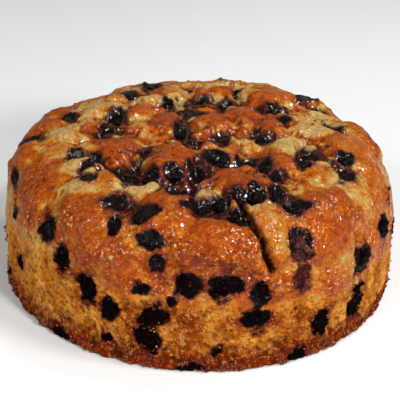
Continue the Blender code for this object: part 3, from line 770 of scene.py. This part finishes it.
def use(shared, given):
    """Outputs of a shared group placed in a tree; its inputs take the given signals by name."""
    made = given["Place"].socket.id_data.nodes.new("ShaderNodeGroup")
    made.node_tree = shared
    fill(made, {socket.name: given[socket.name] for socket in made.inputs})
    return outputs(made)


def new_material(name, *labels):
    """A material, its shader, and the place and the named attributes as signals."""
    material = bpy.data.materials.new(name)
    material.use_nodes = True
    tree = material.node_tree
    place = node(tree, "ShaderNodeTexCoord", {}, "Object")
    masks = [node(tree, "ShaderNodeAttribute", {}, "Fac", attribute_name=label) for label in labels]
    return material, tree.nodes["Principled BSDF"], place, *masks


# Materials; colours are linear

PIT_BROWN = (0.095, 0.013, 0.002)
GRAIN_GOLD = (0.66, 0.27, 0.030)
FLECK_BROWN = (0.10, 0.014, 0.003)
GLITTER = (0.92, 0.52, 0.22)
JUICE = (0.012, 0.003, 0.002)
HOLE_BROWN = (0.14, 0.024, 0.002)
CRUMB_PALE = (0.62, 0.32, 0.090)
CRUMB_BROWN = (0.12, 0.016, 0.001)
STAIN_RIM = (0.11, 0.014, 0.010)
STAIN_BLACK = (0.0020, 0.0005, 0.0008)
CREASE_BLACK = (0.003, 0.001, 0.002)
DUST_BROWN = (0.15, 0.035, 0.006)
LOOSE_BROWN = (0.20, 0.05, 0.01)


def crust_colour_group():
    """Glazed crust: pale khaki through gold and orange to red-brown, mottled, with dark pits and
    browned flecks, and painted glints: small bright dots that stand in for highlights where it sparkles."""
    tree, given, end = group("crust_colour", ("Browning", "Wet", "Sparkle"), {"Colour": "Color"})
    place, sparkle = given["Place"], given["Sparkle"]
    cloud = noise(place, 130.0, 5.0, 0.62, 0.6)
    mottle = noise(place, 340.0, 4.0, 0.62, 0.8)
    tint = ramp(
        given["Browning"] + (cloud * 0.50 - 0.25) + (mottle * 0.84 - 0.42),
        (0.00, (0.44, 0.295, 0.108)),
        (0.20, (0.40, 0.205, 0.040)),
        (0.38, (0.375, 0.108, 0.004)),
        (0.58, (0.315, 0.057, 0.001)),
        (0.80, (0.21, 0.030, 0.001)),
        (1.00, (0.075, 0.009, 0.001)),
    )
    fine = noise(place, 400.0, 3.0, 0.7)
    grainy = sparkle * 0.85 + 0.15
    tint = blend(span(fine, 0.53, 0.61) * grainy * 0.75, tint, PIT_BROWN)
    tint = blend(span(fine, 0.44, 0.34) * grainy * 0.55, tint, GRAIN_GOLD)
    flecks = span(noise(place, 420.0, 5.0, 0.7, 1.2), 0.60, 0.66)
    tint = blend(flecks * 0.70, tint, FLECK_BROWN)
    # painted glints: small bright dots that stand in for highlights
    glitter = span(noise(place, 620.0, 2.0, 0.6), 0.59, 0.68) * span(sparkle, 0.10, 0.85)
    tint = blend(glitter * 0.62, tint, GLITTER)
    # juice, and painted shade in cracks, clefts, hollows, folds and flake edges
    fill(end, {"Colour": blend(given["Wet"], tint, JUICE)})
    return tree


def crumb_colour_group():
    """Porous crumb of the side: yellow ochre, red-brown at the foot, with a toasted band under the
    crust's edge; painted shade darkens the pores and that band, and painted light makes the flanks paler.
    """
    tree, given, end = group("crumb_colour", ("Pore", "Foot", "Toasted", "Streak"),
                             {"Colour": "Color", "Grain": "Float"})
    place, at_foot = given["Place"], given["Foot"]
    cloud = noise(place, 110.0, 5.0, 0.65, 0.5)
    # the streak mask also carries painted light that makes the flanks paler
    tint = ramp(
        cloud - given["Streak"] * 0.30,
        (0.25, (0.24, 0.048, 0.002)),
        (0.48, (0.41, 0.122, 0.006)),
        (0.72, (0.60, 0.258, 0.036)),
    )
    # toasted band, partly painted shade under the crust's edge and the front lobe
    toast = ramp(cloud, (0.3, (0.13, 0.017, 0.001)), (0.7, (0.30, 0.062, 0.003)))
    tint = blend(given["Toasted"], tint, toast)
    foot = ramp(
        noise(place, 240.0, 5.0, 0.75),
        (0.38, (0.030, 0.004, 0.001)),
        (0.52, (0.15, 0.013, 0.001)),
        (0.68, (0.34, 0.042, 0.002)),
    )
    tint = blend(at_foot, tint, foot)
    grain = noise(place, 400.0, 4.0, 0.7)
    # painted shade in the pores, and dark holes of painted shade drawn by cells
    holes = span(cells(place, 360.0), 0.38, 0.20) * span(cloud, 0.36, 0.56)
    dark = holes.math("MAXIMUM", given["Pore"] * 0.68, holes * 0.60)
    tint = blend(dark, tint, HOLE_BROWN)
    tint = blend(span(grain, 0.53, 0.61) * (0.50 - at_foot * 0.12), tint, CRUMB_PALE)
    tint = blend(span(grain, 0.43, 0.35) * 0.62, tint, CRUMB_BROWN)
    fill(end, {"Colour": tint, "Grain": grain - dark * 0.6})
    return tree


def glaze_heights(place, sparkle):
    """Height of the thin glaze over the crust, rounded beads about 2.3 mm wide on broader blisters,
    and height of the crust's own grit under it."""
    gap = cells(place, 430.0)
    beads = (1.0 - gap * (gap * 1.6)) * (sparkle * 0.6 + 0.4)
    glaze = beads + noise(place, 280.0, 1.0, 0.5) * 1.3
    grit = noise(place, 420.0, 4.0, 0.7) * 3.2 + beads * 0.5
    return glaze, grit


def cake_material():
    """Glazed crust above and matt crumb below, stained round the raisins and with painted shade under the
    front lobe's lip; the coat is patchy.
    """
    labels = ("browning", "wet", "sparkle", "pore", "foot", "toasted", "streak", "crumb", "stain",
              "glaze")
    material, shader, place, *masks = new_material("cake_skin", *labels)
    given = {"Place": place, **{label.title(): mask for label, mask in zip(labels, masks)}}
    crumb = given["Crumb"]
    crust = 1.0 - crumb
    crumb_looks = use(crumb_colour_group(), given)
    tint = blend(crumb, use(crust_colour_group(), given)["Colour"], crumb_looks["Colour"])
    ragged = given["Stain"] + (noise(place, 330.0, 4.0, 0.75) - 0.5) * 1.9
    # stain rim, and painted shade along the groove under the front lobe
    tint = blend(span(ragged, 0.15, 0.50) * 0.85, tint, STAIN_RIM)
    patches = span(noise(place, 250.0, 4.0, 0.65), 0.40, 0.60) * 1.45 + 0.15
    glaze, grit = glaze_heights(place, given["Sparkle"])
    fill(shader, {
        "Base Color": blend(span(ragged, 0.48, 0.85), tint, STAIN_BLACK),
        "Roughness": span(crumb, 0.0, 1.0, 0.42, 0.78, "LINEAR"),
        "Normal": bump(grit * crust + crumb_looks["Grain"] * (crumb * 4.0), 0.00110),
        "Specular IOR Level": 0.03,
        "Coat Weight": crust * patches * given["Glaze"],
        "Coat Roughness": 0.11,
        "Coat IOR": 1.45,
        "Coat Normal": bump(glaze, 0.00043),
    })
    return material


def raisin_material():
    """Wrinkled skin, black or plum-brown: glossy with juice on the crown, dusted with crumbs and
    partly under batter on the side."""
    material, shader, place, brown, crease, dusted, cover, glazed = new_material(
        "raisin_skin", "amber", "crease", "dusted", "cover", "glazed")
    cloud = noise(place, 320.0, 4.0, 0.6)
    black_skin = ramp(cloud, (0.35, (0.0004, 0.0001, 0.0002)), (0.7, (0.003, 0.0008, 0.0012)))
    brown_skin = ramp(cloud, (0.30, (0.012, 0.003, 0.005)), (0.70, (0.075, 0.015, 0.016)))
    batter = ramp(cloud, (0.35, (0.20, 0.045, 0.008)), (0.65, (0.44, 0.17, 0.034)))
    # painted shade in the creases
    tint = blend(crease * 0.7, blend(brown, black_skin, brown_skin), CREASE_BLACK)
    crumbs = span(noise(place, 540.0, 3.0, 0.65), 0.66, 0.72)
    tint = blend(crumbs * dusted, tint, DUST_BROWN)
    height = noise(place, 520.0, 4.0, 0.6) + cloud * 0.6
    fill(shader, {
        "Base Color": blend(cover, tint, batter),
        "Roughness": span(cloud, 0.3, 0.7, 0.35, 0.6, "LINEAR"),
        "Normal": bump(height, 0.0006, 0.8),
        "Specular IOR Level": 0.0,
        "Coat Weight": glazed * 0.40,
        "Coat Roughness": 0.09,
        "Coat IOR": 1.32,
        "Coat Normal": bump(abs(noise(place, 430.0, 1.0, 0.5) - 0.5), 0.0036),
    })
    return material


def grain_material():
    """Loose crumbs: each grain has its own tone, from toasted red-brown to pale gold."""
    material, shader, place, tone = new_material("loose_crumb", "tone")
    tint = ramp(
        tone,
        (0.0, (0.040, 0.005, 0.002)),
        (0.35, (0.15, 0.016, 0.001)),
        (0.65, (0.33, 0.062, 0.003)),
        (1.0, (0.46, 0.180, 0.024)),
    )
    cloud = noise(place, 900.0, 3.0, 0.6)
    fill(shader, {"Base Color": blend(cloud * 0.35, tint, LOOSE_BROWN), "Roughness": 0.6,
                  "Normal": bump(cloud, 0.0003, 0.6)})
    return material


# Pieces

def neighbourhood(values, faces, rounds):
    """Each corner's value averaged with its neighbours' in the triangles, so many times over."""
    pairs = np.concatenate([faces[:, [0, 1]], faces[:, [1, 2]], faces[:, [2, 0]]])
    count = np.bincount(pairs.ravel(), minlength=len(values)).astype(float)
    mean = values.astype(float)
    for _ in range(rounds):
        total = np.bincount(pairs[:, 0], mean[pairs[:, 1]], len(values))
        total += np.bincount(pairs[:, 1], mean[pairs[:, 0]], len(values))
        mean = 0.5 * mean + 0.5 * total / count
    return mean


def cake_masks(angle, along, points, fields, edges):
    """The masks that colour the skin, from 0 to 1, as sums and products of its fields.

    Sunk and low say how far a point lies under its near and its wide neighbourhood.
    """
    sunk = neighbourhood(fields.height, edges, 24) - fields.height
    low = neighbourhood(fields.height, edges, 160) - fields.height
    broad, middle, small = fields.broad, fields.middle, fields.small
    crumb, near, groove, streak = fields.crumb, fields.near_raisin, fields.groove, fields.streak
    x, y, z = points.T
    on_top = 1 - smooth(along, 0.070, 0.105)
    on_side = 1 - on_top
    # a lobe is browned on its crest, and fades to pale down its flanks
    crest = smooth(fields.crest + 0.12 * middle + 0.06 * small, 0.02, 0.72)
    patch = swell_noise(points, 0.010, 30) + 0.6 * swell_noise(points, 0.005, 31)
    browning = 0.12 + fields.tone * (0.30 + 0.70 * crest) + 0.18 * patch + 0.06 * middle
    browning += on_side * (0.24 * (1 - crest) - 0.10) + 0.30 * streak
    # painted shade: darker in the folds and low spots, and along the flake edges
    browning += 0.22 * smooth(fields.fold, 0.3, 1.0) + 0.20 * smooth(low, 0.0, 0.002) * on_top
    browning += 1.15 * fields.flake_tone + 0.75 * fields.flake_edge
    browning += 0.26 * smooth(y, -0.015, 0.035) * on_side
    # painted shade under the front lobe's lip, along its groove
    browning += 0.50 * groove * smooth(middle + small, -0.7, 0.3)
    browning -= (0.14 + 0.12 * smooth(x, 0.015, 0.060)) * on_top
    # painted shade in the dents
    browning += 0.30 * fields.dent
    # the darkest tones are held back
    browning -= (0.55 - 0.10 * on_top) * np.clip(browning - 0.62, 0.0, None)
    # juice stains the batter round a raisin with a frayed edge, less so round the plum ones
    frayed = 0.50 * small + 0.35 * middle
    stain = np.exp(-1.7 * np.clip(near - 1.06 - frayed, 0.0, None))
    stain = np.maximum(stain, 0.72 * fields.smear)
    # painted shade under the front lobe's lip, along its groove
    stain = np.maximum(stain, groove * (0.30 + 0.35 * middle + 0.25 * small))
    plum = RAISIN_OVALS.spread(points)[:, list(BROWN_RAISINS)].min(axis=1)
    stain *= 1 - 0.27 * np.exp(-np.clip(plum - 1.0, 0.0, None)) * on_side
    # juice and painted shade darken the cracks, clefts, hollows, folds and flake edges, most of all close
    # to raisins
    close = np.exp(-0.28 * np.clip(near - 1.2, 0.0, None))
    syrup = np.exp(-0.50 * np.clip(near - 1.15 - 0.9 * middle, 0.0, None)) * on_top
    hollow = smooth(sunk, 0.0001, 0.0012) * (1 - crumb)
    wet = 0.95 * smooth(fields.crack, 0.18, 0.75) + 0.5 * smooth(fields.dent, 0.5, 1.0) * on_top
    wet = np.maximum(wet, close * (0.95 * fields.cleft + 0.85 * hollow * on_top))
    wet = np.maximum(wet, close * on_top * smooth(low + 0.0006 * small, 0.0006, 0.0020))
    wet = np.maximum(wet, syrup * (0.35 + 0.65 * smooth(low + 0.0008 * small, -0.0006, 0.0008)))
    wet += 0.35 * smooth(fields.fold, 0.7, 1.0) * (0.3 + 0.7 * close)
    wet = held(wet + 0.75 * fields.flake_edge * (0.30 + 0.70 * close))
    # a toasted band, partly painted shade under the crust's overhang, follows the crust's lower edge in
    # front
    toasted = 1 - smooth(np.abs(z - crust_edge(angle) + 0.008), 0.001, 0.013)
    toasted *= smooth(middle + broad + 1.2 * streak, -0.5, 0.6)
    toasted *= 0.35 + 0.65 * smooth(-y, 0.030, 0.085)
    sparkle = 0.30 + 0.70 * smooth(broad + 0.5 * middle, -0.6, 0.7)
    glaze = (0.30 + 0.33 * on_top) * (1 - 0.75 * held(stain) * on_side)
    glaze *= 1 - 0.6 * smooth(-x, 0.030, 0.080) * on_side
    return {
        "browning": held(browning),
        "crumb": crumb,
        "foot": fields.foot,
        "glaze": glaze,
        "pore": fields.pore,
        "sparkle": sparkle * (1 - 0.75 * on_top),
        "stain": stain,
        # painted light: the crumb is paler at the left and right flanks
        "streak": streak - 0.65 * smooth(np.abs(x), 0.045, 0.085),
        # the groove under the front lobe adds painted shade
        "toasted": np.maximum(toasted, groove),
        "wet": smooth(wet, 0.10, 0.66),
    }


def cake_piece():
    """The fine skin that replaces the cake's solid, with its colour masks as attributes."""
    angle, along = ring_grid()
    points, fields = skin_fields(angle, along)
    triangles, quads, base = ring_faces()
    edges = np.concatenate([triangles, quads[:, [0, 1, 2]], quads[:, [2, 3, 0]]])
    masks = cake_masks(angle, along, points, fields, edges)
    piece = mesh_piece("cake_skin", points, [triangles, quads, base[None, :]], cake_material(), masks)
    piece.data.polygons[len(piece.data.polygons) - 1].use_smooth = False
    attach(piece, "root")
    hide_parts("cake")


def raisin_middle(which):
    """A large raisin lies where its solid does, and a small one is half sunk in the fine skin."""
    if which in LARGE:
        low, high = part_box(f"raisin_{LARGE.index(which) + 1:02d}")
        return (np.array(low) + np.array(high)) / 2
    thickness = RAISIN_THICKNESS_SHARE * RAISIN_OVALS.half_width[which]
    rise = RAISIN_SURFACE[which] - RAISIN_SUNK_SHARE * thickness
    return RAISIN_OVALS.centre[which] + RAISIN_OVALS.normal[which] * rise


def raisin_surface(which, across, down):
    """Points of one raisin, how deep each lies in a crease, and how far batter covers it.

    It is the solid's ellipsoid, pinched by ridged noise that is stretched along the raisin, so
    that creases run lengthwise. Its outer half is flatter.
    """
    ovals = RAISIN_OVALS
    draw = np.random.RandomState(RAISIN_SEED + which)
    thickness = RAISIN_THICKNESS_SHARE * ovals.half_width[which]
    axes = np.stack([ovals.lengthwise[which], ovals.sideways[which], ovals.normal[which]])
    half = np.array([ovals.half_length[which], ovals.half_width[which], thickness])
    turn, lean = np.meshgrid(np.arange(across) * 2 * math.pi / across,
                             np.linspace(0, math.pi, down), indexing="ij")
    unit = np.stack([np.cos(lean), np.sin(lean) * np.cos(turn), np.sin(lean) * np.sin(turn)], axis=-1)
    unit = unit.reshape(-1, 3)
    local = unit * half + draw.uniform(0, 1, 3)
    ridge = np.abs(swell_noise(local * np.array([0.45, 1.0, 1.0]), 0.0022, int(draw.randint(90))))
    lumps = swell_noise(local, 0.0034, int(draw.randint(90)))
    crease = held(1 - 2.6 * ridge)
    shaped = unit * (0.99 + 0.24 * lumps - 0.34 * crease)[:, None]
    on_side = smooth(ovals.along[which], 0.095, 0.110)
    flatness = RAISIN_FLATNESS + (1 - RAISIN_FLATNESS) * 0.4 * on_side
    shaped[:, 2] = np.where(shaped[:, 2] > 0, flatness * shaped[:, 2], shaped[:, 2])
    points = raisin_middle(which) + (shaped * half) @ axes
    points[:, 2] = np.maximum(points[:, 2], 0.0007)
    ragged = swell_noise(points, 0.0032, 61) + 0.7 * swell_noise(points, 0.0016, 62)
    cover = on_side * (1 - smooth(unit[:, 2] + 0.38 * ragged, -0.30, 0.00))
    return points, crease, cover


def grid_faces(across, down, first):
    """Quads of a grid that closes round its first direction, with corners numbered from first."""
    around = np.arange(across)[:, None] * down
    after = (np.arange(1, across + 1) % across)[:, None] * down
    row = np.arange(down - 1)[None, :]
    quads = np.stack([around + row, after + row, after + row + 1, around + row + 1], axis=-1)
    return quads.reshape(-1, 4) + first


def raisins_piece(name, chosen, material, across, down):
    """One joined mesh of the chosen raisins."""
    corners = across * down
    surfaces = [raisin_surface(which, across, down) for which in chosen]
    points, crease, cover = (np.concatenate(parts) for parts in zip(*surfaces))
    faces = np.concatenate([grid_faces(across, down, i * corners) for i in range(len(chosen))])
    on_side = RAISIN_OVALS.along[chosen] > 0.110
    piece = mesh_piece(name, points, [faces], material, {
        "crease": crease,
        "cover": cover,
        "amber": np.repeat(np.isin(chosen, BROWN_RAISINS), corners),
        "glazed": np.repeat(np.where(on_side, 0.12, 1.0), corners),
        "dusted": np.repeat(np.where(on_side, 1.0, 0.25), corners),
    })
    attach(piece, "root")
    return piece


def crumbs_piece(count, seed):
    """Loose crumbs in clumps on the side and foot: jittered octahedra, half sunk in the skin."""
    draw = np.random.RandomState(seed)
    angle = draw.uniform(-math.pi, math.pi, count)
    low = draw.uniform(0, 1, count) ** 2.4
    points, fields = skin_fields(angle, SKIN_LENGTH - 0.0015 - 0.040 * low)
    clumps = swell_noise(points, 0.0075, 63) + 0.6 * swell_noise(points, 0.0032, 64)
    kept = (fields.crumb > 0.35) & (fields.near_raisin > 0.7) & (clumps > 0.0)
    points, low = points[kept], low[kept]
    size = draw.uniform(0.30, 0.85, len(points)) * MM * (1.1 - 0.6 * low)
    corners = np.array([(1, 0, 0), (-1, 0, 0), (0, 1, 0), (0, -1, 0), (0, 0, 1), (0, 0, -1)], float)
    jitter = draw.uniform(0.55, 1.25, (len(points), 6, 1))
    twist = draw.normal(0, 0.30, (len(points), 6, 3))
    spots = points[:, None] + size[:, None, None] * (corners * jitter + twist)
    spots[..., 2] = np.clip(spots[..., 2], 0.0002, None)
    faces = np.array([(0, 2, 4), (2, 1, 4), (1, 3, 4), (3, 0, 4),
                      (2, 0, 5), (1, 2, 5), (3, 1, 5), (0, 3, 5)])
    faces = (faces[None] + 6 * np.arange(len(points))[:, None, None]).reshape(-1, 3)
    foot = 1 - smooth(points[:, 2], 0.004, 0.014)
    tone = held(draw.uniform(0.45, 0.95, len(points)) - 0.45 * foot)
    piece = mesh_piece("loose_crumbs", spots.reshape(-1, 3), [faces], grain_material(),
                       {"tone": np.repeat(tone, 6)})
    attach(piece, "root")


RAISIN_SURFACE = coarse_relief(RAISIN_OVALS.centre, RAISIN_OVALS.along)[0]
is_large = RAISIN_OVALS.half_length * 2 >= NODE_LENGTH - 1e-9
LARGE, SMALLER = list(np.flatnonzero(is_large)), list(np.flatnonzero(~is_large))

cake_piece()
RAISIN_SKIN = raisin_material()
large_raisins = raisins_piece("raisins", LARGE, RAISIN_SKIN, 32, 23)
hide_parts(*[f"raisin_{place:02d}" for place in range(1, len(LARGE) + 1)])
raisins_piece("small_raisins", SMALLER, RAISIN_SKIN, 24, 17)
crumbs_piece(CRUMB_COUNT, CRUMB_SEED)


# Camera, light and floor

# Area lights: name, place, height they aim at, size, watts and colour
LIGHTS = (
    ("right_front", (1.32, -1.48, 1.00), 0.04, (0.44, 0.44), 43.0, (1.0, 0.92, 0.81)),
    ("left_fill", (-1.6, -1.6, 0.90), 0.03, (2.0, 1.6), 31.0, (1.0, 0.93, 0.84)),
    ("glints_left", (-0.55, -0.62, 0.78), 0.04, (0.10, 0.10), 3.0, (1.0, 0.95, 0.88)),
    ("glints_front", (0.60, -0.78, 0.55), 0.04, (0.10, 0.10), 3.6, (1.0, 0.95, 0.88)),
    ("high_right", (0.48, -0.18, 0.86), 0.07, (0.20, 0.20), 5.4, (1.0, 0.96, 0.90)),
    ("glints_top", (0.32, 0.20, 0.95), 0.07, (0.11, 0.11), 2.3, (1.0, 0.97, 0.93)),
)
WORLD_COLOUR = (0.97, 0.95, 0.92, 1.0)
WORLD_STRENGTH = 0.25
FLOOR_HALF = 4


def set_camera():
    eye, forward, right, up = view_axes()
    camera = bpy.data.cameras.new("camera")
    camera.sensor_width = SENSOR_WIDTH
    camera.lens = VIEW_FOCAL_PIXELS / VIEW_PIXELS * SENSOR_WIDTH
    stand = bpy.data.objects.new("camera", camera)
    columns = np.stack([right, up, -forward, eye], axis=1)
    stand.matrix_world = Matrix([*columns.tolist(), [0, 0, 0, 1]])
    bpy.context.scene.collection.objects.link(stand)
    bpy.context.scene.camera = stand


def area_light(name, place, aim_height, size, power, colour):
    light = bpy.data.lights.new(name, "AREA")
    light.shape = "RECTANGLE"
    light.size, light.size_y = size
    light.energy = power
    light.color = colour
    stand = bpy.data.objects.new(name, light)
    stand.location = place
    sight = Vector((0, 0, aim_height)) - Vector(place)
    stand.rotation_euler = sight.to_track_quat("-Z", "Y").to_euler()
    bpy.context.scene.collection.objects.link(stand)


def set_floor():
    material, shader, place = new_material("pale_floor")
    tint = ramp(noise(place, 3.0), (0.3, (0.600, 0.635, 0.680)), (0.7, (0.625, 0.660, 0.705)))
    fill(shader, {"Base Color": tint, "Roughness": 0.7})
    corners = FLOOR_HALF * np.array([(-1, -1, 0), (1, -1, 0), (1, 1, 0), (-1, 1, 0)])
    floor = mesh_piece("floor", corners, [np.array([[0, 1, 2, 3]])], material, {})


def set_world():
    world = bpy.data.worlds.new("studio")
    world.use_nodes = True
    backdrop = world.node_tree.nodes["Background"]
    backdrop.inputs[0].default_value = WORLD_COLOUR
    backdrop.inputs[1].default_value = WORLD_STRENGTH
    bpy.context.scene.world = world


set_camera()
set_floor()
set_world()
for light in LIGHTS:
    area_light(*light)
bpy.context.scene.view_settings.view_transform = "Standard"
bpy.context.scene.view_settings.look = "None"
